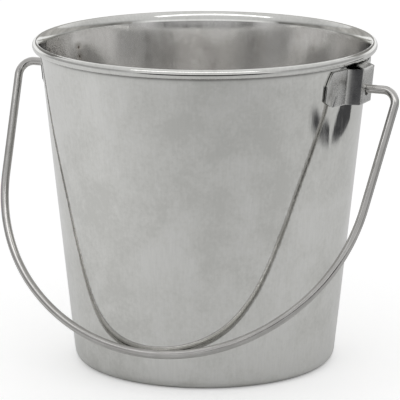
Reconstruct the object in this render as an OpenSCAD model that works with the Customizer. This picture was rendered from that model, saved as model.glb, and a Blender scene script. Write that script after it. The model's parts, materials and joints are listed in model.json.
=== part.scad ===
// Drawn steel feed pail with a rolled rim, two welded ears and a swinging wire bail.
// Row frame: +Z up, origin at the centre of the base's underside, bail pivots along X,
// and the bail rests against the wall on the -Y side.

/* [Pail] */
// Height from the floor to the top of the rolled rim
pail_height = 192.5; // [150:0.5:260]
// Diameter over the rolled rim
rim_d = 203; // [190:1:230]
// Diameter at which the straight wall would meet the floor
base_d = 154; // [130:1:165]
// Outside radius of the corner between wall and base
corner_r = 7; // [4:0.5:12]
// Thickness of the drawn sheet
wall_t = 0.6; // [0.4:0.1:1]
// Height of the rolled rim
bead_h = 5.2; // [4.4:0.1:7]

/* [Ears] */
// Height of the bail's pivot above the floor
pivot_z = 171; // [120:0.5:172]
// Thickness of the stamped ear
ear_t = 1.2; // [0.8:0.1:1.6]
// Height of the ear, measured up the wall
ear_h = 20.8; // [18:0.2:24]
// How far the middle of the ear lies above the pivot
ear_rise = 2.8; // [0:0.2:3]
// Width across both welded wings
ear_w = 67; // [50:1:72]
// Width of the raised pocket where it leaves the wings
pocket_root_w = 29; // [26:1:34]
// Width of the pocket's flat front
pocket_face_w = 17; // [14:1:20]
// Depth from the wall to the outside of the pocket's front
pocket_depth = 7.4; // [6.8:0.1:9]
// Diameter of the pivot hole
hole_d = 6.6; // [5.6:0.1:7.2]

/* [Bail] */
// Diameter of the bail's wire
wire_d = 5; // [4:0.1:5.4]
// Distance from the pail's axis to the outside bend's centreline
bail_half = 121; // [119:0.5:126]
// Centreline radius of the bend at each end
end_bend_r = 8.5; // [7:0.5:12]
// How far the straight legs lean inwards
leg_lean = 5.7; // [2:0.1:7]
// Length of each straight leg
leg_len = 62.5; // [50:0.5:70]
// Centreline radius of the bow next to each leg
shoulder_r = 105; // [95:1:112]
// Angle that the shoulder radius covers
shoulder_arc = 40; // [25:1:50]
// Clearance between the resting bail and the wall
rest_gap = 0.3; // [0.2:0.1:2]
// Diameter of the upset head that holds each end of the wire
head_d = 8.2; // [7.6:0.1:9]
// Thickness of the upset head
head_t = 1.6; // [1:0.1:2]

/* [Hidden] */
$fn = 96;
base_r = base_d / 2;
// The rim is rolled in four arcs: a wide neck, a tight top, a flatter outer side and a tight underside
neck_r = 9.5;
tight_r = 1.45;
neck_end = 140;
top_end = 50;
side_end = -35;
curl_end = -150;
side_r = (bead_h - tight_r * (2 - sin(top_end) + sin(side_end))) / (sin(top_end) - sin(side_end));
top_c = [
    rim_d / 2 - tight_r * cos(top_end) - side_r * (1 - cos(top_end)),
    pail_height - tight_r
];
neck_c = top_c + (tight_r - neck_r) * [cos(neck_end), sin(neck_end)];
side_c = top_c + (tight_r - side_r) * [cos(top_end), sin(top_end)];
under_c = side_c + (side_r - tight_r) * [cos(side_end), sin(side_end)];
// The straight wall runs from the base's diameter to where it is tangent to the neck
neck_from_base = neck_c - [base_r, 0];
wall_lean = acos((neck_r - wall_t) / norm(neck_from_base)) - atan2(neck_from_base.y, neck_from_base.x);
neck_start = 180 - wall_lean;
corner_x = base_r - corner_r * (1 - sin(wall_lean)) / cos(wall_lean);
foot_z = corner_r * (1 - sin(wall_lean));
head_z = neck_c.y + (neck_r - wall_t) * sin(wall_lean);
// Height and length of the patches that fuse stretches of sheet or wire which only meet end to end
seam_h = 0.01;
seam_len = 0.08;

// The ear is drawn with X square to the wall, Y along the rim and Z up the wall, from the pivot
ear_top = ear_rise + ear_h / 2;
ear_low = ear_rise - ear_h / 2;
// Gap of the spot-welded lap between the wings and the wall
lap = 0.05;
// Each wing's free corners are cut off, more along the top than along the bottom
wing_cut_top = [3.5, 8.5];
wing_cut_low = [7, 3.6];
pocket_bend_r = 2.4;
// The bends turn the pocket's front into its slanting sides
pocket_turn = 90 - atan((pocket_root_w - pocket_face_w) / 2 / pocket_depth);
pocket_bend_c = [pocket_depth - pocket_bend_r, pocket_face_w / 2 - pocket_bend_r * tan(pocket_turn / 2)];
// How far a cutting shape reaches past the sheet that it cuts
reach = 3;
// The hood leans back from the top of the pocket's front and ends below the rim
hood_run = 5.4;
hood_rise = 2.2;
hood_w = pocket_face_w - 1.5 * pocket_bend_r;

// End play of the wire between its upset heads and the ears
end_play = 0.8;
face_x = wall_r(pivot_z) + pocket_depth;
stub_start = face_x - ear_t - end_play - head_t;
bend_x = bail_half - end_bend_r;
shoulder_x = bend_x + end_bend_r * cos(leg_lean) - leg_len * sin(leg_lean);
bow_turn = leg_lean + shoulder_arc;
bow_x = shoulder_x - shoulder_r * (cos(leg_lean) - cos(bow_turn));
crown_r = bow_x / cos(bow_turn);
// Distance from the pivot to the middle of the bow, which is what meets the wall
bow_drop = end_bend_r * (1 + sin(leg_lean)) + leg_len * cos(leg_lean)
    + shoulder_r * (sin(bow_turn) - sin(leg_lean)) + crown_r * (1 - sin(bow_turn));
// Angle from hanging straight down at which the bail lies against the wall
bail_rest = asin((wall_r(pivot_z) * cos(wall_lean) + wire_d / 2 + rest_gap) / bow_drop) - wall_lean;

// Outside radius of the wall at height z
function wall_r(z) = base_r + z * tan(wall_lean);

// Flat sector of a ring, from angle a0 to angle a1
module ring_sector(r_out, r_in, a0, a1) {
    steps = ceil((a1 - a0) / 60);
    far = 2 * r_out;
    intersection() {
        difference() {
            circle(r = r_out);
            circle(r = r_in);
        }
        polygon(concat([[0, 0]],
            [for (i = [0:steps]) let (a = a0 + (a1 - a0) * i / steps) far * [cos(a), sin(a)]]));
    }
}

// Hair-thin patch over the joint between two stretches of sheet, so that they fuse into one
module sheet_seam(thickness) {
    square([thickness + 2 * seam_h, seam_len], center = true);
}

// Straight part of the wall, from the corner's end to the start of the neck
module wall_section() {
    across = wall_t * [cos(wall_lean), -sin(wall_lean)];
    foot = [wall_r(foot_z), foot_z];
    head = [wall_r(head_z), head_z];
    polygon([foot, head, head - across, foot - across]);
    translate(foot - across / 2) rotate(-wall_lean) sheet_seam(wall_t);
}

// Arc of the rolled rim around a centre, with the patch that joins it to the arc before it
module rim_arc(c, r, from, to) {
    translate(c) {
        ring_sector(r, r - wall_t, to, from);
        rotate(from) translate([r - wall_t / 2, 0]) sheet_seam(wall_t);
    }
}

// One deep-drawn sheet: flat base, rounded corner, straight flared wall and rolled rim
module pail_body() {
    color([0.68, 0.69, 0.68]) rotate_extrude($fn = 180) {
        square([corner_x, wall_t]);
        translate([corner_x, corner_r])
            ring_sector(corner_r, corner_r - wall_t, -90, -wall_lean);
        wall_section();
        rim_arc(neck_c, neck_r, neck_start, neck_end);
        rim_arc(top_c, tight_r, neck_end, top_end);
        rim_arc(side_c, side_r, top_end, side_end);
        rim_arc(under_c, tight_r, side_end, curl_end);
    }
}

// The wall's outside as a solid, grown by gap
module wall_solid(gap) {
    translate([0, 0, corner_r])
        cylinder(h = head_z - corner_r, r1 = wall_r(corner_r) + gap, r2 = wall_r(head_z) + gap, $fn = 180);
}

// Stands its children on the wall at the +X side, at the pivot
module on_wall() {
    translate([wall_r(pivot_z), 0, pivot_z]) rotate([0, wall_lean, 0]) children();
}

// Front view of both wings, with their free corners cut off
module wing_outline() {
    half = ear_w / 2;
    right = [
        [half - wing_cut_low.x, ear_low],
        [half, ear_low + wing_cut_low.y],
        [half, ear_top - wing_cut_top.y],
        [half - wing_cut_top.x, ear_top]
    ];
    polygon(concat(right, [for (i = [3:-1:0]) [-right[i].x, right[i].y]]));
}

// Point inside the bend at which it meets the pocket's slanting side, at a depth into the sheet
function bend_point(depth) = pocket_bend_c + (pocket_bend_r - depth) * [cos(pocket_turn), sin(pocket_turn)];

// Point behind the wall at which the pocket's slanting side ends, at a depth into the sheet
function root_point(depth) = let (p = bend_point(depth)) [-reach, p.y + (p.x + reach) / tan(pocket_turn)];

// Plan view of half of the pocket's sheet: flat front, bend and slanting side
module half_pocket() {
    translate([pocket_depth - ear_t, 0]) square([ear_t, pocket_bend_c.y]);
    translate([pocket_depth - ear_t / 2, pocket_bend_c.y]) sheet_seam(ear_t);
    translate(pocket_bend_c) ring_sector(pocket_bend_r, pocket_bend_r - ear_t, 0, pocket_turn);
    translate(bend_point(ear_t / 2)) rotate(pocket_turn) sheet_seam(ear_t);
    polygon([bend_point(0), root_point(0), root_point(ear_t), bend_point(ear_t)]);
}

// Plan view of the hollow that the pocket leaves between the wings, up to the middle of its sides
module pocket_hollow() {
    side = bend_point(ear_t / 2);
    root = root_point(ear_t / 2);
    polygon([root, side, [side.x, -side.y], [root.x, -root.y]]);
}

// Sheet that leans back from the top of the pocket's front
module hood() {
    top = [pocket_depth, ear_top];
    tip = top + [-hood_run, hood_rise];
    under = ear_t / norm([hood_run, hood_rise]) * [-hood_rise, -hood_run];
    rotate([90, 0, 0]) linear_extrude(height = hood_w, center = true)
        polygon([top, tip, tip + under, [pocket_depth - ear_t, ear_top - ear_t], [pocket_depth, ear_top - ear_t]]);
}

// Both welded wings, following the wall, on either side of the pocket
module wings() {
    difference() {
        intersection() {
            wall_solid(lap + ear_t);
            on_wall() rotate([90, 0, 90]) translate([0, 0, -4 * reach])
                linear_extrude(height = 5 * reach) wing_outline();
        }
        on_wall() translate([0, 0, ear_low - reach])
            linear_extrude(height = ear_h + 2 * reach) pocket_hollow();
    }
}

// One stamped ear on the +X side: two wings on the wall and a raised pocket with the pivot hole
module ear() {
    difference() {
        union() {
            wings();
            on_wall() translate([0, 0, ear_low]) linear_extrude(height = ear_h) {
                half_pocket();
                mirror([0, 1]) half_pocket();
            }
            on_wall() hood();
        }
        wall_solid(lap);
        translate([face_x - 2 * ear_t, 0, pivot_z]) rotate([0, 90, 0]) cylinder(h = 3 * ear_t, d = hole_d);
    }
}

module ear_right() {
    color([0.72, 0.73, 0.72]) ear();
}

module ear_left() {
    color([0.72, 0.73, 0.72]) rotate([0, 0, 180]) ear();
}

// Hair-thin ring over the joint between two stretches of wire, so that they fuse into one
module wire_seam() {
    rotate([0, 90, 0]) cylinder(h = seam_len, d = wire_d + 2 * seam_h, center = true);
}

// Straight wire along +X, with its children at the far end
module straight_wire(length) {
    rotate([0, 90, 0]) cylinder(h = length, d = wire_d);
    translate([length, 0, 0]) {
        wire_seam();
        children();
    }
}

// Wire that starts along +X and bends towards -Z, with its children at the far end
module bent_wire(r, turn) {
    translate([0, 0, -r]) {
        rotate([90, 0, 0]) rotate([0, 0, 90 - turn])
            rotate_extrude(angle = turn) translate([r, 0]) circle(d = wire_d);
        rotate([0, turn, 0]) translate([0, 0, r]) {
            wire_seam();
            children();
        }
    }
}

// Half of the bail, from the upset head inside the ear to the middle of the bow
module half_bail() {
    translate([stub_start, 0, 0]) {
        rotate([0, 90, 0]) cylinder(h = head_t, d = head_d);
        straight_wire(bend_x - stub_start)
            bent_wire(end_bend_r, 90 + leg_lean)
                straight_wire(leg_len)
                    bent_wire(shoulder_r, shoulder_arc)
                        bent_wire(crown_r, 90 - bow_turn);
    }
}

// One round wire, bent into a bow with straight legs, resting against the wall
module bail() {
    color([0.75, 0.74, 0.72])
        translate([0, 0, pivot_z]) rotate([-bail_rest, 0, 0]) {
            half_bail();
            mirror([1, 0, 0]) half_bail();
        }
}

pail_body();
ear_right();
ear_left();
bail();
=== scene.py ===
"""Steel feed pail with two welded ears and a wire bail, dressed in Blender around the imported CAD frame."""

import json
import math

import bpy
import numpy as np
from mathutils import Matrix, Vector

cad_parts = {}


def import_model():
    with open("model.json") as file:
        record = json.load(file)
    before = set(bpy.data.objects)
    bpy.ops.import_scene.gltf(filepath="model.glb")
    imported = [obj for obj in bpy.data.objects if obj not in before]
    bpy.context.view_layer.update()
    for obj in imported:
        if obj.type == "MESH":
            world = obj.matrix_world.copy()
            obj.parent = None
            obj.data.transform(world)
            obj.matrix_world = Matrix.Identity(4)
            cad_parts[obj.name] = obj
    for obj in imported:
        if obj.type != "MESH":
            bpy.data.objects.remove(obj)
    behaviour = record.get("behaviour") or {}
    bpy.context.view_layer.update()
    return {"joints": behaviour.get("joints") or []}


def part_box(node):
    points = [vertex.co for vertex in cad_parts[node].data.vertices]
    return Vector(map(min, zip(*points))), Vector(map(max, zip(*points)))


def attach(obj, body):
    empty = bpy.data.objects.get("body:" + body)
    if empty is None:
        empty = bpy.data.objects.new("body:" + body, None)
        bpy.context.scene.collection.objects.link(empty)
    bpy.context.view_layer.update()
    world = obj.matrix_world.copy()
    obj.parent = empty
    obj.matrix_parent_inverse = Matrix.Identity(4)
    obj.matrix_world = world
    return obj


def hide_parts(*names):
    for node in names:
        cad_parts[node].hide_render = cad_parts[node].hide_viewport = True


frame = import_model()

MM = 0.001

# ---------------------------------------------------------------- driving dimensions, in millimetres
JOINT = frame["joints"][0]
PIVOT_Z = JOINT["pos_m"][2] / MM
PAIL_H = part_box("pail_body")[1].z / MM
RIM_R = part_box("pail_body")[1].x / MM
BASE_R = 77.0
CORNER_R = 7.0
WALL_T = 0.6
BEAD_H = 5.2
NECK_R, TIGHT_R = 9.5, 1.45
NECK_END, TOP_END, SIDE_END, CURL_END = 140.0, 50.0, -35.0, -150.0

EAR_T = 1.2
EAR_LOW, EAR_TOP = -7.6, 13.2
EAR_HALF = 33.5
LAP = 0.05
ROOT_HALF = 14.5
FACE_HALF = 8.5
POCKET_DEPTH = 7.4
POCKET_BEND_R = 2.4
ROOT_FILLET = 1.6
HOLE_R = 3.3
HOOD_RUN, HOOD_RISE = 5.4, 2.2
WING_CUT_TOP = (3.5, 8.5)
WING_CUT_LOW = (7.0, 3.6)

WIRE_R = 2.5
BAIL_HALF = 121.0
END_BEND_R = 8.5
LEG_LEAN = 5.7
LEG_LEN = 62.5
SHOULDER_R = 105.0
SHOULDER_ARC = 40.0
REST_GAP = 0.3
HEAD_R = 4.1
HEAD_T = 1.6
HEAD_FILLET = 0.5
END_PLAY = 0.8

# ---------------------------------------------------------------- derived dimensions
def step_centre(centre, r_from, r_to, angle):
    """Centre of the next arc, tangent to the last one at an angle in degrees."""
    a = math.radians(angle)
    return (centre[0] + (r_from - r_to) * math.cos(a), centre[1] + (r_from - r_to) * math.sin(a))


SIN_TOP, COS_TOP = math.sin(math.radians(TOP_END)), math.cos(math.radians(TOP_END))
SIN_SIDE = math.sin(math.radians(SIDE_END))
SIDE_R = (BEAD_H - TIGHT_R * (2 - SIN_TOP + SIN_SIDE)) / (SIN_TOP - SIN_SIDE)
TOP_C = (RIM_R - TIGHT_R * COS_TOP - SIDE_R * (1 - COS_TOP), PAIL_H - TIGHT_R)
NECK_C = step_centre(TOP_C, TIGHT_R, NECK_R, NECK_END)
SIDE_C = step_centre(TOP_C, TIGHT_R, SIDE_R, TOP_END)
UNDER_C = step_centre(SIDE_C, SIDE_R, TIGHT_R, SIDE_END)
LEAN = math.acos((NECK_R - WALL_T) / math.hypot(NECK_C[0] - BASE_R, NECK_C[1]))
LEAN -= math.atan2(NECK_C[1], NECK_C[0] - BASE_R)
COS_L, SIN_L, TAN_L = math.cos(LEAN), math.sin(LEAN), math.tan(LEAN)


def wall_r(z):
    """Outside radius of the wall at height z."""
    return BASE_R + z * TAN_L


CORNER_X = BASE_R - CORNER_R * (1 - SIN_L) / COS_L
FOOT_Z = CORNER_R * (1 - SIN_L)
HEAD_Z = NECK_C[1] + (NECK_R - WALL_T) * SIN_L
PIVOT_R = wall_r(PIVOT_Z)
FACE_X = PIVOT_R + POCKET_DEPTH
STUB_START = FACE_X - EAR_T - END_PLAY - HEAD_T


def arc(cx, cy, r, a0, a1, n):
    """n + 1 points on a circle from angle a0 to angle a1, in degrees."""
    angles = [math.radians(a0 + (a1 - a0) * i / n) for i in range(n + 1)]
    return [(cx + r * math.cos(a), cy + r * math.sin(a)) for a in angles]


def new_object(name, verts, faces):
    """A mesh object from millimetre coordinates."""
    mesh = bpy.data.meshes.new(name)
    mesh.from_pydata([tuple(c * MM for c in v) for v in verts], [], faces)
    mesh.validate()
    mesh.polygons.foreach_set("use_smooth", [True] * len(mesh.polygons))
    mesh.update()
    obj = bpy.data.objects.new(name, mesh)
    bpy.context.scene.collection.objects.link(obj)
    return obj


def add_shade(obj, values):
    """Stores how much each vertex is darkened, for the materials: painted shade under the bead and in the
    creases, and on the pocket sides an etched darker panel with painted reflection.
    """
    shade = obj.data.attributes.new("shade", "FLOAT", "POINT")
    shade.data.foreach_set("value", values)


def apply_modifiers(obj):
    """Replaces the object's mesh with what its modifiers make of it."""
    deps = bpy.context.evaluated_depsgraph_get()
    mesh = bpy.data.meshes.new_from_object(obj.evaluated_get(deps))
    old = obj.data
    obj.modifiers.clear()
    obj.data = mesh
    mesh.name = obj.name
    bpy.data.meshes.remove(old)
    return obj


# ---------------------------------------------------------------- pail
EARS_AT = (0.0, math.pi)
# (along the rim, up the wall) of each weld spot, from the ear's pivot
WELDS = [(-20.6, 6.4), (-20.7, 0.9), (15.5, 9.5), (19.0, 1.5)]
WELD_SPOT_R = 1.8
WELD_DEPTH = 0.16
PUCKER_R = 9.0
PUCKER_DEPTH = 0.22
WELD_REACH = 60.0
WAVE_2, WAVE_3 = 0.05, 0.03
# painted shade under the bead starts and is full at these heights, from the top of the straight wall
UNDER_BEAD_SHADE_FROM, UNDER_BEAD_SHADE_FULL = -1.9, -0.9


def wrapped(angle):
    """The same angle between -pi and pi."""
    return (angle + math.pi) % (2 * math.pi) - math.pi


def wall_offset(theta, z):
    """How far out the sheet is pushed at one place, in mm: weld dimples, puckers round them, slight waves."""
    out = WAVE_2 * math.sin(2 * theta + 0.7) + WAVE_3 * math.sin(3 * theta + z / 38.0)
    for ear in EARS_AT:
        side = wrapped(theta - ear) * wall_r(z)
        up = (z - PIVOT_Z) / COS_L
        if abs(side) > WELD_REACH or up < -WELD_REACH:
            continue
        for across, high in WELDS:
            d2 = (side - across) ** 2 + (up - high) ** 2
            out += WELD_DEPTH * math.exp(-d2 / WELD_SPOT_R**2)
            out -= PUCKER_DEPTH * math.exp(-d2 / PUCKER_R**2)
    return out * min(1.0, max(0.0, (z - FOOT_Z) / 20.0)) * min(1.0, max(0.0, (HEAD_Z - z) / 4.0))


def rim_arcs(depth, lean):
    """The rolled rim from the wall's top to the curl's raw edge, at a depth into the sheet."""
    arcs = [
        (NECK_C, NECK_R, 180 - lean, NECK_END, 14),
        (TOP_C, TIGHT_R, NECK_END, TOP_END, 14),
        (SIDE_C, SIDE_R, TOP_END, SIDE_END, 14),
        (UNDER_C, TIGHT_R, SIDE_END, CURL_END, 16),
    ]
    line = []
    for (cx, cz), r, a0, a1, n in arcs:
        line += arc(cx, cz, r - depth, a0, a1, n)[1 if line else 0:]
    return line


def pail_profile():
    """(r, z, part) along the whole section, from the middle of the underside to the middle of the inside."""
    rows = 84
    heights = [FOOT_Z + (HEAD_Z - FOOT_Z) * (i / rows) ** 0.8 for i in range(rows + 1)]
    outer = [(wall_r(z), z) for z in heights]
    inner = [(r - WALL_T * COS_L, z + WALL_T * SIN_L) for r, z in outer]
    flat = [CORNER_X * f for f in (0.0, 0.08, 0.25, 0.5, 0.75, 0.9, 1.0)]
    lean = math.degrees(LEAN)
    line = [(r, 0.0, "") for r in flat[:-1]]
    line += [(r, z, "") for r, z in arc(CORNER_X, CORNER_R, CORNER_R, -90, -lean, 12)[:-1]]
    line += [(r, z, "wall out") for r, z in outer[:-1]]
    line += [(r, z, "neck") for r, z in rim_arcs(WALL_T, lean)[:-1]]
    edge = math.radians(CURL_END)
    mid = TIGHT_R - WALL_T / 2
    mid_x, mid_z = UNDER_C[0] + mid * math.cos(edge), UNDER_C[1] + mid * math.sin(edge)
    line += [(r, z, "") for r, z in arc(mid_x, mid_z, WALL_T / 2, CURL_END + 180, CURL_END + 360, 6)[:-1]]
    line += [(r, z, "") for r, z in reversed(rim_arcs(0.0, lean)[1:])]
    line += [(r, z, "wall") for r, z in reversed(inner)]
    line = line[:-1]
    line += [(r, z, "") for r, z in arc(CORNER_X, CORNER_R, CORNER_R - WALL_T, -lean, -90, 12)]
    line += [(r, WALL_T, "") for r in reversed(flat[:-1])]
    return line


def pail_mesh(name, around=288):
    """The drawn shell: one closed skin turned about Z, with weld dimples pressed into it."""
    line = pail_profile()
    verts, faces = [(0.0, 0.0, line[0][1])], []
    ring_at, marks = [], [0.0]
    for r, z, part in line[1:-1]:
        ring_at.append(len(verts))
        # painted shade: a thin dark line under the bead, on the outside of the wall and the neck
        under_bead_shaded = part in ("wall out", "neck")
        marks += [smooth_step(UNDER_BEAD_SHADE_FROM, UNDER_BEAD_SHADE_FULL, z - HEAD_Z) if under_bead_shaded else 0.0] * around
        for k in range(around):
            theta = 2 * math.pi * k / around
            push = wall_offset(theta, z) if part.startswith("wall") else 0.0
            rr, zz = r + push * COS_L, z - push * SIN_L
            verts.append((rr * math.cos(theta), rr * math.sin(theta), zz))
    top = len(verts)
    verts.append((0.0, 0.0, line[-1][1]))
    for k in range(around):
        n = (k + 1) % around
        faces.append((0, ring_at[0] + n, ring_at[0] + k))
        faces.append((ring_at[-1] + k, ring_at[-1] + n, top))
        for a, b in zip(ring_at, ring_at[1:]):
            faces.append((a + k, a + n, b + n, b + k))
    obj = new_object(name, verts, faces)
    add_shade(obj, marks + [0.0])
    inside = [inner_side(poly) for poly in obj.data.polygons]
    obj.data.polygons.foreach_set("material_index", inside)
    return obj


def inner_side(poly):
    """1 for a face on the inside of the pail, 0 for one on its outside or on the rim."""
    c, n = poly.center, poly.normal
    out = n.x * c.x + n.y * c.y
    upright = abs(n.z) < 0.9
    faces_in = out < -1e-9 if upright else n.z > 0
    within = math.hypot(c.x, c.y) < (NECK_C[0] - NECK_R) * MM + 0.0008
    return int(c.z < HEAD_Z * MM and faces_in and within)


# ---------------------------------------------------------------- ears
def ear_point(x, y, v, turn):
    """Row-frame point of the ear's own x (off the wall), y (along the rim) and v (up the wall)."""
    px = PIVOT_R + x * COS_L + v * SIN_L
    pz = PIVOT_Z - x * SIN_L + v * COS_L
    c, s = math.cos(turn), math.sin(turn)
    return (px * c - y * s, px * s + y * c, pz)


def on_cone(y, v, gap):
    """The ear's own x at which a point beside the pocket stands gap off the wall."""
    x = 0.0
    for _ in range(4):
        z = PIVOT_Z - x * SIN_L + v * COS_L
        rho = wall_r(z) + gap / COS_L
        x = (math.sqrt(rho * rho - y * y) - PIVOT_R - v * SIN_L) / COS_L
    return x


def smooth_step(a, b, x):
    """0 below a, 1 above b, and an easy curve between."""
    t = min(1.0, max(0.0, (x - a) / (b - a)))
    return t * t * (3 - 2 * t)


TURN = math.pi / 2 - math.atan((ROOT_HALF - FACE_HALF) / POCKET_DEPTH)
BEND_X = POCKET_DEPTH - POCKET_BEND_R
BEND_Y = FACE_HALF - POCKET_BEND_R * math.tan(TURN / 2)


def half_section():
    """Half of the ear's plan: (x, y, wing) of the outside, from the front's edge to the wing's end."""
    pts = [(BEND_X + POCKET_BEND_R * math.cos(a), BEND_Y + POCKET_BEND_R * math.sin(a), 0.0)
           for a in np.linspace(0.0, TURN, 9)]
    top = np.array(pts[-1][:2])
    down = np.array([-math.sin(TURN), math.cos(TURN)])
    gap = LAP + EAR_T
    foot_x = on_cone(ROOT_HALF, 0.0, gap)
    length = (top[0] - foot_x) / math.sin(TURN)
    foot = top + down * length
    # the concave fillet between the side and the wing, tangent to both
    wing_dir = np.array([on_cone(foot[1] + 1, 0.0, gap) - on_cone(foot[1], 0.0, gap), 1.0])
    wing_dir /= np.linalg.norm(wing_dir)
    bend = math.acos(float(np.dot(down, wing_dir)))
    cut = ROOT_FILLET * math.tan(bend / 2)
    start, end = foot - down * cut, foot + wing_dir * cut
    for f in np.linspace(0, 1, 5)[1:-1]:
        p = top + (start - top) * f
        pts.append((p[0], p[1], 0.0))
    for f in np.linspace(0, 1, 7):
        p = (1 - f) ** 2 * start + 2 * f * (1 - f) * foot + f * f * end
        pts.append((p[0], p[1], 1.0 if f == 1 else 0.0))
    for y in np.linspace(end[1], EAR_HALF, 52)[1:]:
        pts.append((None, y, 1.0))
    return pts


def wing_limits(y):
    """Lowest and highest v of the wing at y, with its free corners cut off and rounded."""
    def cut(run, depth, power):
        """How much of the corner is gone at y."""
        return depth * max(0.0, (abs(y) - (EAR_HALF - run)) / run) ** power

    low = EAR_LOW + cut(WING_CUT_LOW[0], WING_CUT_LOW[1], 1.25)
    high = EAR_TOP - cut(WING_CUT_TOP[0] + 0.8, WING_CUT_TOP[1], 1.6)
    return low, high


# the crease's ends as (y, v), its half width and depth, and how far its outer lip and the wing's end stand off
CREASE_TOP, CREASE_FOOT = (23.0, 0.3), (26.6, -7.6)
CREASE_W, CREASE_D = 0.7, 0.5
CREASE_LIFT, WING_LIFT = 0.35, 0.3
LIFT_RUN = 9.0


def crease(y, v):
    """Offset of the sheet at the pinched crease up each wing from its lower edge; a dip is negative."""
    (ay, av), (by, bv) = CREASE_TOP, CREASE_FOOT
    ly, lv = by - ay, bv - av
    t = ((abs(y) - ay) * ly + (v - av) * lv) / (ly * ly + lv * lv)
    t = min(1.0, max(0.0, t))
    d = math.hypot(abs(y) - ay - t * ly, v - av - t * lv)
    side = abs(y) - ay - t * ly
    lift = CREASE_LIFT * t * smooth_step(0.0, 1.2, side) * (1 - smooth_step(2.0, 6.0, side))
    return lift - CREASE_D * t * math.exp(-((d / CREASE_W) ** 2))


def crease_painted_shade(y, v):
    """How much painted shade darkens the bottom of the crease at one place."""
    return min(1.0, max(0.0, -1.7 * crease(y, v) / CREASE_D - 0.1))


def pocket_side_mark(y):
    """How dark the pocket's side walls are at y, an etched darker panel with painted dark reflection on it: full
    between the front's bend and the fillet at the wing.
    """
    from_front = smooth_step(BEND_Y + 0.9, BEND_Y + 1.7, abs(y))
    return from_front * (1 - smooth_step(ROOT_HALF - 2.2, ROOT_HALF - 0.4, abs(y)))


def ear_mesh(name, turn):
    """One stamped ear: two wings on the wall, a raised pocket with the pivot hole, and a hood leaning back."""
    half = half_section()
    section = [(x, -y, w) for x, y, w in reversed(half)] + half
    rows = EAR_ROWS
    verts, faces, marks = [], [], []

    def add(x, y, v, mark=0.0):
        verts.append(ear_point(x, y, v, turn))
        marks.append(mark)
        return len(verts) - 1

    gap = LAP + EAR_T
    grid = []
    for x, y, wing in section:
        low, high = wing_limits(y) if wing else (EAR_LOW, EAR_TOP)
        column = []
        for j in range(rows + 1):
            v = low + (high - low) * (row_v(j) - EAR_LOW) / (EAR_TOP - EAR_LOW)
            lift = WING_LIFT * smooth_step(EAR_HALF - LIFT_RUN, EAR_HALF, abs(y))
            depth = on_cone(y, v, gap) + crease(y, v) + lift if x is None else x
            # painted shade in the creases on the wings; on the pocket's sides an etched darker panel with
            # painted reflection
            mark = crease_painted_shade(y, v) if x is None else pocket_side_mark(y)
            column.append(add(depth, y, v, mark))
        grid.append(column)
    mid = len(half)
    for i in range(len(section) - 1):
        if i == mid - 1:
            continue
        for j in range(rows):
            faces.append((grid[i][j], grid[i + 1][j], grid[i + 1][j + 1], grid[i][j + 1]))
    left, right = grid[mid - 1], grid[mid]
    front, top = front_faces(add, left, right)
    faces += front + hood_faces(add, top)
    obj = new_object(name, verts, faces)
    add_shade(obj, marks)
    return obj


FRONT_COLS = 14
HOLE_MARGIN = 1.4
HOOD_TURN = math.pi / 2 - math.atan2(HOOD_RISE, HOOD_RUN)
HOOD_BEND_R = 1.9
FRONT_TOP = EAR_TOP - HOOD_BEND_R * math.tan(HOOD_TURN / 2)
EAR_ROWS, FRONT_ROWS = 27, 24


def row_v(j):
    """Height up the ear of row j; the flat front ends on row FRONT_ROWS, where the hood's bend starts."""
    if j <= FRONT_ROWS:
        return EAR_LOW + (FRONT_TOP - EAR_LOW) * j / FRONT_ROWS
    return FRONT_TOP + (EAR_TOP - FRONT_TOP) * (j - FRONT_ROWS) / (EAR_ROWS - FRONT_ROWS)


def front_faces(add, left, right):
    """The pocket's flat front between its bends, with the pivot hole, and the vertices of its top row."""
    rows = FRONT_ROWS
    cols = [left]
    for i in range(1, FRONT_COLS):
        y = -BEND_Y + 2 * BEND_Y * i / FRONT_COLS
        cols.append([None] * (rows + 1))
        for j in range(rows + 1):
            cols[i][j] = (y, row_v(j))
    cols.append(right)
    pitch_y = 2 * BEND_Y / FRONT_COLS
    i0 = int(round((BEND_Y - HOLE_R - HOLE_MARGIN) / pitch_y))
    i1 = FRONT_COLS - i0
    pitch_v = (FRONT_TOP - EAR_LOW) / rows
    j0 = int(round((-HOLE_R - HOLE_MARGIN - EAR_LOW) / pitch_v))
    j1 = int(round((HOLE_R + HOLE_MARGIN - EAR_LOW) / pitch_v))
    made = {}

    def vert(i, j):
        if i in (0, FRONT_COLS):
            return cols[i][j]
        if (i, j) not in made:
            made[i, j] = add(POCKET_DEPTH, *cols[i][j])
        return made[i, j]

    faces = []
    for i in range(FRONT_COLS):
        for j in range(rows):
            if i0 <= i < i1 and j0 <= j < j1:
                continue
            faces.append((vert(i, j), vert(i + 1, j), vert(i + 1, j + 1), vert(i, j + 1)))
    border = [(i, j0) for i in range(i0, i1)] + [(i1, j) for j in range(j0, j1)]
    border += [(i, j1) for i in range(i1, i0, -1)] + [(i0, j) for j in range(j1, j0, -1)]
    outer = [vert(i, j) for i, j in border]
    angles = [math.atan2(cols[i][j][1], cols[i][j][0]) for i, j in border]
    for step in (0.55, 0.12, 0.0):
        ring = []
        for (i, j), a in zip(border, angles):
            y, v = cols[i][j]
            cy, cv = HOLE_R * math.cos(a), HOLE_R * math.sin(a)
            ring.append(add(POCKET_DEPTH, cy + (y - cy) * step, cv + (v - cv) * step))
        n = len(outer)
        for k in range(n):
            faces.append((outer[k], outer[(k + 1) % n], ring[(k + 1) % n], ring[k]))
        outer = ring
    return faces, [vert(i, rows) for i in range(FRONT_COLS + 1)]


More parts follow.
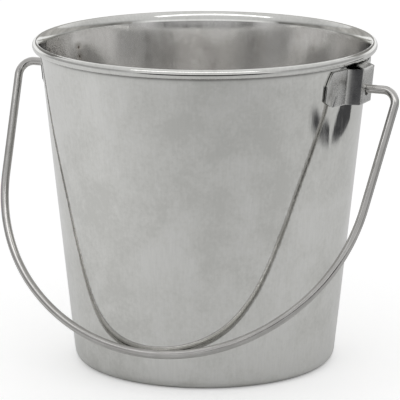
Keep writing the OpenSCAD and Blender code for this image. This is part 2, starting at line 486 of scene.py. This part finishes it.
def hood_faces(add, previous):
    """The flap at the top of the front: bent back over the pocket and running up under the rim."""
    turn, bend_r = HOOD_TURN, HOOD_BEND_R
    path = [(POCKET_DEPTH - bend_r + bend_r * math.cos(a), FRONT_TOP + bend_r * math.sin(a))
            for a in np.linspace(0, turn, 8)[1:]]
    length = math.hypot(HOOD_RUN, HOOD_RISE) - bend_r * math.tan(turn / 2)
    back = (-math.sin(turn), math.cos(turn))
    bend_x, bend_v = path[-1]
    path += [(bend_x + back[0] * length * f, bend_v + back[1] * length * f) for f in (0.25, 0.5, 0.75, 1.0)]
    faces = []
    for k, (x, v) in enumerate(path):
        half = BEND_Y - 0.35 * smooth_step(0, 3, k + 1)
        row = [add(x, -half + 2 * half * i / FRONT_COLS, v) for i in range(FRONT_COLS + 1)]
        for i in range(FRONT_COLS):
            faces.append((previous[i], previous[i + 1], row[i + 1], row[i]))
        previous = row
    return faces


def thicken(obj, depth, edge):
    """Gives the one-sided sheet its thickness, inwards, and softens the sheared edges."""
    solid = obj.modifiers.new("sheet", "SOLIDIFY")
    solid.thickness = depth * MM
    solid.offset = -1.0
    solid.use_even_offset = True
    solid.use_quality_normals = True
    soft = obj.modifiers.new("sheared_edge", "BEVEL")
    soft.width = edge * MM
    soft.segments = 2
    soft.limit_method = "ANGLE"
    soft.angle_limit = math.radians(50)
    soft.harden_normals = False
    return apply_modifiers(obj)


# ---------------------------------------------------------------- bail
def bail_path():
    """Half of the wire's centreline in its own plane: (x, drop, heading) from the stub to the bow's middle."""
    lean = math.radians(LEG_LEAN)
    x, y, a = STUB_START, 0.0, 0.0
    points = [(x, y, a)]

    def straight(length, pitch):
        nonlocal x, y
        n = max(1, int(math.ceil(length / pitch)))
        for _ in range(n):
            x += length / n * math.cos(a)
            y += length / n * math.sin(a)
            points.append((x, y, a))

    def bend(r, turn, pitch):
        nonlocal x, y, a
        n = max(4, int(math.ceil(r * turn / pitch)))
        cx, cy = x - r * math.sin(a), y + r * math.cos(a)
        start = a
        for i in range(1, n + 1):
            a = start + turn * i / n
            x, y = cx + r * math.sin(a), cy - r * math.cos(a)
            points.append((x, y, a))

    straight(BAIL_HALF - END_BEND_R - STUB_START, 2.0)
    bend(END_BEND_R, math.pi / 2 + lean, 0.7)
    straight(LEG_LEN, 3.0)
    arc_turn = math.radians(SHOULDER_ARC)
    bend(SHOULDER_R, arc_turn, 2.5)
    bow = lean + arc_turn
    crown_r = x / math.cos(bow)
    bend(crown_r, math.pi / 2 - bow, 2.5)
    return points


def bail_rest(points):
    """Angle from hanging straight down at which the bow lies against the wall."""
    drop = points[-1][1]
    return math.asin((PIVOT_R * COS_L + WIRE_R + REST_GAP) / drop) - LEAN


def head_rings():
    """(distance along the wire, radius) of the upset head and its neck."""
    soft, fillet = 0.45, HEAD_FILLET
    rim_r = HEAD_R - soft
    face = [(soft - soft * math.sin(a), rim_r + soft * math.cos(a)) for a in np.linspace(math.pi / 2, 0, 6)]
    back = [(HEAD_T - soft + soft * math.sin(a), rim_r + soft * math.cos(a))
            for a in np.linspace(0, math.pi / 2, 6)]
    neck = [(HEAD_T + fillet - fillet * math.sin(a), WIRE_R + fillet - fillet * math.cos(a))
            for a in np.linspace(math.pi / 2, 0, 5)]
    return [(0.0, HEAD_R * 0.35), (0.0, HEAD_R * 0.7)] + face + back + neck


def bail_mesh(name, around=32):
    """The whole wire as one closed skin swept along its centreline, with a head at each end."""
    half = bail_path()
    rest = bail_rest(half)
    stations = [(STUB_START + s, 0.0, 0.0, r) for s, r in head_rings()]
    start = STUB_START + HEAD_T + HEAD_FILLET
    stations += [(x, y, a, WIRE_R) for x, y, a in half if x > start + 0.3 or y > 1e-6]
    mirrored = [(-x, y, -a, r) for x, y, a, r in reversed(stations[:-1])]
    verts, faces, lengths = [], [], []
    whole = stations + mirrored
    c, s = math.cos(rest), math.sin(rest)

    def place(x, out, drop):
        # out is square to the bow's plane, drop is down in it; the bow swings forward (-Y) from hanging
        return (x, -drop * s - out * c, PIVOT_Z - drop * c + out * s)

    run, before = 0.0, None
    for x, y, a, r in whole:
        if before is not None:
            run += math.hypot(x - before[0], y - before[1])
        before = (x, y)
        lengths.append(run)
        nx, ny = math.sin(a), -math.cos(a)
        for k in range(around):
            t = 2 * math.pi * k / around
            u, w = r * math.cos(t), r * math.sin(t)
            verts.append(place(x + nx * u, w, y + ny * u))
    rings = len(whole)
    for i in range(rings - 1):
        for k in range(around):
            n = (k + 1) % around
            faces.append((i * around + k, i * around + n, (i + 1) * around + n, (i + 1) * around + k))
    first, last = len(verts), len(verts) + 1
    verts.append(place(whole[0][0], 0.0, whole[0][1]))
    verts.append(place(whole[-1][0], 0.0, whole[-1][1]))
    for k in range(around):
        n = (k + 1) % around
        faces.append((first, n, k))
        faces.append((last, (rings - 1) * around + k, (rings - 1) * around + n))
    obj = new_object(name, verts, faces)
    wire_uv(obj, around, rings, lengths)
    return obj


def wire_uv(obj, around, rings, lengths):
    """UV map of the wire: U round it and V along it, both in metres."""
    uv = obj.data.uv_layers.new(name="wire")
    girth = 2 * math.pi * WIRE_R
    for poly in obj.data.polygons:
        ks = [v % around for v in poly.vertices if v < rings * around]
        wraps = max(ks) - min(ks) > around / 2
        for li, v in zip(poly.loop_indices, poly.vertices):
            if v >= rings * around:
                uv.data[li].uv = (0.0, (lengths[0] if v == rings * around else lengths[-1]) * MM)
                continue
            k, i = v % around, v // around
            if wraps and k == 0:
                k = around
            uv.data[li].uv = (girth * k / around * MM, lengths[i] * MM)


# ---------------------------------------------------------------- materials
class Nodes:
    """Short calls for building one node tree."""

    def __init__(self, tree):
        self.tree = tree

    def add(self, kind, **settings):
        node = self.tree.nodes.new("ShaderNode" + kind)
        for key, value in settings.items():
            setattr(node, key, value)
        return node

    def link(self, a, b):
        self.tree.links.new(a, b)

    def math(self, op, a, b=None):
        node = self.add("Math", operation=op)
        for slot, value in zip(node.inputs, (a, b)):
            if value is None:
                continue
            if hasattr(value, "is_output"):
                self.link(value, slot)
            else:
                slot.default_value = value
        return node.outputs[0]

    def noise(self, vector, scale, detail=3.0, rough=0.55, distort=0.0):
        node = self.add("TexNoise", noise_dimensions="3D")
        node.inputs["Scale"].default_value = scale
        node.inputs["Detail"].default_value = detail
        node.inputs["Roughness"].default_value = rough
        node.inputs["Distortion"].default_value = distort
        self.link(vector, node.inputs["Vector"])
        return node.outputs["Fac"]

    def stretched(self, vector, scale):
        node = self.add("Mapping", vector_type="POINT")
        node.inputs["Scale"].default_value = scale
        self.link(vector, node.inputs["Vector"])
        return node.outputs["Vector"]

    def scaled(self, value, from_low, from_high, low, high, shape="LINEAR"):
        """Maps from_low..from_high on to low..high, clamped."""
        node = self.add("MapRange", interpolation_type=shape)
        slots = ("From Min", "From Max", "To Min", "To Max")
        for slot, setting in zip(slots, (from_low, from_high, low, high)):
            node.inputs[slot].default_value = setting
        self.link(value, node.inputs["Value"])
        return node.outputs["Result"]

    def spread(self, value, low, high):
        """Maps 0.3..0.7 of a noise on to low..high."""
        return self.scaled(value, 0.3, 0.7, low, high)

    def ramp(self, value, stops):
        node = self.add("ValToRGB")
        ramp = node.color_ramp
        while len(ramp.elements) < len(stops):
            ramp.elements.new(0.5)
        for element, (at, colour) in zip(ramp.elements, stops):
            element.position = at
            element.color = (*colour, 1.0)
        self.link(value, node.inputs["Fac"])
        return node.outputs["Color"]

    def mix(self, factor, a, b):
        node = self.add("Mix", data_type="RGBA", blend_type="MIX")
        for slot, value in ((node.inputs[0], factor), (node.inputs[6], a), (node.inputs[7], b)):
            if hasattr(value, "is_output"):
                self.link(value, slot)
            elif isinstance(value, tuple):
                slot.default_value = (*value, 1.0)
            else:
                slot.default_value = value
        return node.outputs[2]

    def bump(self, height, distance, strength=1.0, normal=None):
        node = self.add("Bump")
        node.inputs["Strength"].default_value = strength
        node.inputs["Distance"].default_value = distance
        self.link(height, node.inputs["Height"])
        if normal is not None:
            self.link(normal, node.inputs["Normal"])
        return node.outputs["Normal"]


def metal(name):
    """A new material with a plain metallic shader; returns it, its nodes and the shader."""
    material = bpy.data.materials.new(name)
    material.use_nodes = True
    nodes = Nodes(material.node_tree)
    shader = next(n for n in material.node_tree.nodes if n.type == "BSDF_PRINCIPLED")
    shader.inputs["Metallic"].default_value = 1.0
    shader.inputs["Specular IOR Level"].default_value = 0.5
    return material, nodes, shader


def sheet_finish(n, shader, tones, rough_low, rough_high):
    """Polished drawn sheet: cloudy bloom, fine upright grain and specks; returns place and colour."""
    place = n.add("TexCoord").outputs["Object"]
    cloud = n.noise(place, 38.0, 4.0, 0.6, 0.4)
    bloom = n.noise(place, 11.0, 3.0, 0.5)
    grain = n.noise(n.stretched(place, (900.0, 900.0, 26.0)), 1.0, 2.0, 0.6)
    speck = n.noise(place, 420.0, 3.0, 0.65)
    shade = n.math("ADD", n.math("MULTIPLY", cloud, 0.42), n.math("MULTIPLY", bloom, 0.34))
    shade = n.math("ADD", shade, n.math("MULTIPLY", speck, 0.24))
    colour = n.ramp(shade, [(0.43, tones[0]), (0.5, tones[1]), (0.57, tones[2])])
    colour = n.mix(n.spread(grain, 0.0, 0.2), colour, tuple(0.76 * c for c in tones[1]))
    rough = n.math("ADD", n.spread(cloud, rough_low, rough_high), n.spread(grain, -0.015, 0.03))
    n.link(rough, shader.inputs["Roughness"])
    normal = n.bump(grain, 0.000012)
    normal = n.bump(bloom, 0.00035, 1.0, normal)
    n.link(normal, shader.inputs["Normal"])
    return place, colour


def wall_metal(name):
    """The outside and the rim: bright polish, with a painted shade line under the bead."""
    material, n, shader = metal(name)
    tones = [(0.67, 0.67, 0.645), (0.74, 0.74, 0.715), (0.79, 0.79, 0.77)]
    place, colour = sheet_finish(n, shader, tones, 0.035, 0.075)
    # painted shade: the 'shade' attribute darkens the colour in a thin line under the bead
    mark = n.add("Attribute", attribute_name="shade").outputs["Fac"]
    mark = n.math("MULTIPLY", mark, n.spread(n.noise(place, 55.0, 2.0), 0.8, 1.0))
    colour = n.mix(mark, colour, (0.06, 0.06, 0.056))
    n.link(colour, shader.inputs["Base Color"])
    return material


def inside_metal(name):
    """The inside: slightly warmer and duller, with small heat-tinted weld spots behind the ears."""
    material, n, shader = metal(name)
    tones = [(0.68, 0.67, 0.655), (0.74, 0.732, 0.718), (0.78, 0.774, 0.762)]
    shader.inputs["Metallic"].default_value = 0.9
    place, colour = sheet_finish(n, shader, tones, 0.07, 0.13)
    spots = None
    for centre in weld_places():
        far = n.add("VectorMath", operation="DISTANCE")
        n.link(place, far.inputs[0])
        far.inputs[1].default_value = centre
        away = far.outputs["Value"]
        spots = away if spots is None else n.math("MINIMUM", spots, away)
    ragged = n.math("ADD", spots, n.math("MULTIPLY", n.noise(place, 900.0, 3.0), 0.0008))
    halo = n.scaled(ragged, 0.0045, 0.0012, 0.0, 0.35, "SMOOTHSTEP")
    core = n.scaled(ragged, 0.0014, 0.0008, 0.0, 1.0, "SMOOTHSTEP")
    colour = n.mix(halo, colour, (0.42, 0.37, 0.31))
    colour = n.mix(core, colour, (0.1, 0.07, 0.05))
    n.link(colour, shader.inputs["Base Color"])
    return material


def weld_places():
    """Row-frame places, in metres, of the weld spots on the inside of the wall."""
    places = []
    for ear in EARS_AT:
        for across, high in WELDS:
            z = PIVOT_Z + high * COS_L
            r = wall_r(z) - WALL_T / COS_L
            theta = ear + across / wall_r(z)
            places.append((r * math.cos(theta) * MM, r * math.sin(theta) * MM, z * MM))
    return places


def wire_metal(name):
    """Drawn wire: lengthwise die lines and scratches, slightly warm."""
    material, n, shader = metal(name)
    uv = n.add("UVMap", uv_map="wire").outputs["UV"]
    lines = n.noise(n.stretched(uv, (1900.0, 28.0, 1.0)), 1.0, 3.0, 0.65)
    place = n.add("TexCoord").outputs["Object"]
    cloud = n.noise(place, 90.0, 3.0, 0.6)
    colour = n.ramp(cloud, [(0.35, (0.58, 0.57, 0.555)), (0.65, (0.68, 0.67, 0.655))])
    colour = n.mix(n.spread(lines, 0.0, 0.6), colour, (0.28, 0.27, 0.26))
    n.link(colour, shader.inputs["Base Color"])
    rough = n.math("ADD", n.spread(lines, 0.09, 0.16), n.spread(cloud, -0.02, 0.03))
    n.link(rough, shader.inputs["Roughness"])
    n.link(n.bump(lines, 0.00003), shader.inputs["Normal"])
    return material


def ear_metal(name):
    """Stamped sheet: satin tumble finish with fine scuffs; the 'shade' attribute adds painted shade in the
    creases and a darker etched panel with painted reflection on the pocket's sides.
    """
    material, n, shader = metal(name)
    place = n.add("TexCoord").outputs["Object"]
    cloud = n.noise(place, 90.0, 3.0, 0.5, 0.3)
    scuff = n.noise(n.stretched(place, (500.0, 160.0, 900.0)), 1.0, 3.0, 0.6, 0.6)
    colour = n.ramp(cloud, [(0.35, (0.6, 0.6, 0.585)), (0.65, (0.72, 0.72, 0.705))])
    colour = n.mix(n.spread(scuff, 0.0, 0.25), colour, (0.43, 0.43, 0.42))
    # painted shade in the creases, and on the pocket's sides an etched darker panel with painted reflection
    side = n.add("Attribute", attribute_name="shade").outputs["Fac"]
    side = n.math("MULTIPLY", side, n.spread(cloud, 0.8, 1.0))
    colour = n.mix(side, colour, (0.1, 0.1, 0.105))
    n.link(colour, shader.inputs["Base Color"])
    n.link(n.math("ADD", n.spread(cloud, 0.2, 0.3), n.spread(scuff, -0.03, 0.04)), shader.inputs["Roughness"])
    normal = n.bump(scuff, 0.00002)
    n.link(n.bump(cloud, 0.00003, 1.0, normal), shader.inputs["Normal"])
    return material


# ---------------------------------------------------------------- assembly
def build():
    steel = wall_metal("polished_wall")
    stamped = ear_metal("stamped_satin")
    drawn = wire_metal("drawn_wire")
    pail = pail_mesh("pail_shell")
    pail.data.materials.append(steel)
    pail.data.materials.append(inside_metal("polished_inside"))
    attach(pail, "pail")
    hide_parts("pail_body")
    for name, node, turn in (("ear_plate_right", "ear_right", 0.0), ("ear_plate_left", "ear_left", math.pi)):
        ear = thicken(ear_mesh(name, turn), EAR_T, 0.3)
        ear.data.materials.append(stamped)
        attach(ear, "pail")
        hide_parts(node)
    bail = bail_mesh("bail_wire")
    bail.data.materials.append(drawn)
    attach(bail, "bail")
    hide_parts("bail")


# ---------------------------------------------------------------- studio
CAM_AZ, CAM_EL = math.radians(24.0), math.radians(13.26)
CAM_DIST = 1.8833
AIM = Vector((0.0, 0.0, 0.085))
CAM_YAW, CAM_PITCH = -0.0015, 0.0054


def camera():
    """Long lens at the photograph's viewing angle."""
    data = bpy.data.cameras.new("camera")
    data.lens = 284.7
    data.sensor_width = 36.0
    data.clip_start, data.clip_end = 0.01, 100.0
    obj = bpy.data.objects.new("camera", data)
    bpy.context.scene.collection.objects.link(obj)
    out = Vector((math.sin(CAM_AZ) * math.cos(CAM_EL), -math.cos(CAM_AZ) * math.cos(CAM_EL), math.sin(CAM_EL)))
    obj.location = out * CAM_DIST + AIM
    right = Vector((math.cos(CAM_AZ), math.sin(CAM_AZ), 0.0))
    up = right.cross(-out).normalized()
    view = -out * math.cos(CAM_YAW) * math.cos(CAM_PITCH) + right * math.sin(CAM_YAW) * math.cos(CAM_PITCH)
    view += up * math.sin(CAM_PITCH)
    obj.rotation_mode = "QUATERNION"
    obj.rotation_quaternion = view.to_track_quat("-Z", "Y")
    bpy.context.scene.camera = obj


def along(n, place, x, y, z=0.0):
    """How far a place lies along a direction."""
    dot = n.add("VectorMath", operation="DOT_PRODUCT")
    n.link(place, dot.inputs[0])
    dot.inputs[1].default_value = (x, y, z)
    return dot.outputs["Value"]


def floor():
    """Seamless pale floor: near white to the camera, and shaded from near to far for all other rays."""
    size = 6000.0
    obj = new_object("studio_floor", [(-size, -size, 0), (size, -size, 0), (size, size, 0), (-size, size, 0)],
                     [(0, 1, 2, 3)])
    material = bpy.data.materials.new("pale_floor")
    material.use_nodes = True
    n = Nodes(material.node_tree)
    shader = next(x for x in material.node_tree.nodes if x.type == "BSDF_PRINCIPLED")
    shader.inputs["Roughness"].default_value = 0.9
    shader.inputs["Specular IOR Level"].default_value = 0.0
    seen = n.add("LightPath").outputs["Is Camera Ray"]
    place = n.add("TexCoord").outputs["Object"]
    ahead = along(n, place, math.sin(CAM_AZ), -math.cos(CAM_AZ))
    right = along(n, place, math.cos(CAM_AZ), math.sin(CAM_AZ))
    near = n.scaled(ahead, 0.1, 0.5, 0.82, 0.635)
    near = n.math("MULTIPLY", near, n.scaled(right, -0.3, 0.2, 1.08, 0.95))
    off_line = n.math("SUBTRACT", n.math("ABSOLUTE", right), n.math("MULTIPLY", ahead, 0.9))
    far_off = n.scaled(ahead, 0.56, 0.62, 0.0, 0.93, "SMOOTHSTEP")
    unlit = n.math("MULTIPLY", far_off, n.scaled(off_line, -0.15, 0.1, 1.0, 0.0))
    level = n.math("MULTIPLY", near, n.math("SUBTRACT", 1.0, unlit))
    reflected = n.add("CombineColor")
    for slot in reflected.inputs:
        n.link(level, slot)
    n.link(n.mix(seen, reflected.outputs["Color"], (0.95, 0.95, 0.95)), shader.inputs["Base Color"])
    shader.inputs["Emission Color"].default_value = (1.0, 1.0, 1.0, 1.0)
    n.link(n.math("MULTIPLY", seen, 0.3), shader.inputs["Emission Strength"])
    obj.data.materials.append(material)


def dark_card(name, corners, cover, soft=None):
    """A dark card on the floor, which only reflections see; cover is how much of it noise leaves standing.

    With soft, a half width in mm, it fades away from the line between the middles of its two ends."""
    obj = new_object(name, [(x, y, 1.0) for x, y in corners], [tuple(range(len(corners)))])
    material = bpy.data.materials.new(name)
    material.use_nodes = True
    n = Nodes(material.node_tree)
    shader = next(x for x in material.node_tree.nodes if x.type == "BSDF_PRINCIPLED")
    shader.inputs["Base Color"].default_value = (0.035, 0.035, 0.04, 1.0)
    shader.inputs["Roughness"].default_value = 0.8
    place = n.add("TexCoord").outputs["Object"]
    alpha = n.spread(n.noise(place, 32.0, 3.0, 0.6), cover - 0.3, cover + 0.3)
    if soft:
        start, end = ((np.array(corners[i]) + corners[i + 1]) / 2 * MM for i in (0, 2))
        line = (end - start) / np.linalg.norm(end - start)
        off = float(-line[1] * start[0] + line[0] * start[1])
        across = n.math("ABSOLUTE", n.math("SUBTRACT", along(n, place, float(-line[1]), float(line[0])), off))
        alpha = n.math("MULTIPLY", alpha, n.scaled(across, 0.15 * soft * MM, soft * MM, 1.0, 0.0, "SMOOTHSTEP"))
        far = n.math("SUBTRACT", along(n, place, float(line[0]), float(line[1])), float(np.dot(line, start)))
        alpha = n.math("MULTIPLY", alpha, n.scaled(far, 0.0, 0.06, 0.0, 1.0))
    n.link(alpha, shader.inputs["Alpha"])
    obj.data.materials.append(material)
    obj.visible_camera = obj.visible_diffuse = obj.visible_shadow = obj.visible_transmission = False


# the ring's gap from the rim, its edges above the pail's top, and how far round it reaches to each side
CARD_GAP, CARD_LOW, CARD_HIGH, CARD_HALF_TURN = 16.0, 10.0, 47.0, 105.0


def back_card():
    """A low pale ring behind the rim, which only reflections see: a darker band in the steel inside the pail."""
    r, low, high = RIM_R + CARD_GAP, PAIL_H + CARD_LOW, PAIL_H + CARD_HIGH
    verts = []
    steps = 60
    for i in range(steps + 1):
        a = CAM_AZ + math.pi / 2 + math.radians(CARD_HALF_TURN) * (2 * i / steps - 1)
        verts += [(r * math.cos(a), r * math.sin(a), low), (r * math.cos(a), r * math.sin(a), high)]
    faces = [(2 * i, 2 * i + 2, 2 * i + 3, 2 * i + 1) for i in range(steps)]
    obj = new_object("card_behind", verts, faces)
    material = bpy.data.materials.new("card_behind")
    material.use_nodes = True
    n = Nodes(material.node_tree)
    shader = next(x for x in material.node_tree.nodes if x.type == "BSDF_PRINCIPLED")
    shader.inputs["Base Color"].default_value = (0.0, 0.0, 0.0, 1.0)
    shader.inputs["Specular IOR Level"].default_value = 0.0
    place = n.add("TexCoord").outputs["Object"]
    streaks = n.noise(n.stretched(place, (30.0, 30.0, 3.0)), 1.0, 3.0, 0.6)
    aside = n.math("ABSOLUTE", along(n, place, math.cos(CAM_AZ), math.sin(CAM_AZ)))
    middle = n.scaled(aside, 0.06, 0.1, 1.0, 0.6, "SMOOTHSTEP")
    shader.inputs["Emission Color"].default_value = (1.0, 0.98, 0.95, 1.0)
    n.link(n.math("MULTIPLY", n.spread(streaks, 0.28, 0.68), middle), shader.inputs["Emission Strength"])
    obj.data.materials.append(material)
    obj.visible_camera = obj.visible_diffuse = obj.visible_shadow = obj.visible_transmission = False


def softbox(name, at, aim, width, height, power):
    """A rectangular area light that the camera itself doesn't see."""
    data = bpy.data.lights.new(name, "AREA")
    data.shape = "RECTANGLE"
    data.size, data.size_y = width, height
    data.energy = power
    obj = bpy.data.objects.new(name, data)
    bpy.context.scene.collection.objects.link(obj)
    obj.location = at
    obj.rotation_mode = "QUATERNION"
    obj.rotation_quaternion = (Vector(aim) - Vector(at)).to_track_quat("-Z", "Y")
    obj.visible_camera = False


# brightness of the studio at the sine of its elevation, behind the pail, at its sides and round the camera
WORLD_LEVELS = [(0.0, 0.7), (0.09, 0.9), (0.22, 0.9), (0.32, 0.64), (0.7, 0.7), (1.0, 0.78)]
BACK_LEVEL, SIDE_LEVEL, ROOM_LEVEL = 1.02, 0.3, 0.03


def world():
    """White to the camera; for reflections a pale studio, dark round the camera and greyer at its sides."""
    w = bpy.data.worlds.new("studio")
    bpy.context.scene.world = w
    w.use_nodes = True
    n = Nodes(w.node_tree)
    back = next(x for x in w.node_tree.nodes if x.type == "BACKGROUND")
    seen = n.add("LightPath").outputs["Is Camera Ray"]
    place = n.add("TexCoord").outputs["Generated"]

    front = along(n, place, math.sin(CAM_AZ), -math.cos(CAM_AZ))
    up = along(n, place, 0.0, 0.0, 1.0)
    grey = n.ramp(up, [(at, (level,) * 3) for at, level in WORLD_LEVELS])
    grey = n.mix(n.scaled(front, -0.2, -0.9, 0.0, 1.0), grey, (BACK_LEVEL,) * 3)
    aside = n.math("ABSOLUTE", along(n, place, math.cos(CAM_AZ), math.sin(CAM_AZ)))
    # the unlit room round the camera
    ahead = n.scaled(front, 0.0, 0.2, 0.0, 1.0)
    room = n.math("MULTIPLY", n.scaled(aside, 0.5, 0.75, 1.0, 0.0, "SMOOTHSTEP"), ahead)
    room = n.math("MULTIPLY", room, n.scaled(up, 0.05, 0.11, 1.0, 0.0, "SMOOTHSTEP"))
    below = n.scaled(up, 0.3, 0.45, 1.0, 0.0)
    wings = n.math("MULTIPLY", n.scaled(aside, 0.6, 0.85, 0.0, 0.8, "SMOOTHSTEP"), below)
    grey = n.mix(wings, grey, (SIDE_LEVEL,) * 3)
    grey = n.mix(room, grey, (ROOM_LEVEL,) * 3)
    n.link(n.mix(seen, grey, (1.0, 1.0, 1.0)), back.inputs["Color"])
    back.inputs["Strength"].default_value = 1.0


def around(az_deg, dist, z):
    """Row-frame place at an azimuth off the camera's own, positive to its right."""
    a = CAM_AZ + math.radians(az_deg)
    return (math.sin(a) * dist, -math.cos(a) * dist, z)


def studio():
    bpy.context.scene.view_settings.view_transform = "Standard"
    camera()
    floor()
    world()
    softbox("key_box", around(-8, 0.95, 1.5), (0, 0, 0.1), 2.2, 0.3, 2.4)
    back_card()
    dark_card("card_far_right", [(398, 258), (293, 490), (380, 720), (530, 585)], 1.1)
    dark_card("card_strip", [(462, 60), (548, 92), (466, 258), (384, 236)], 1.0, soft=42)


build()
studio()
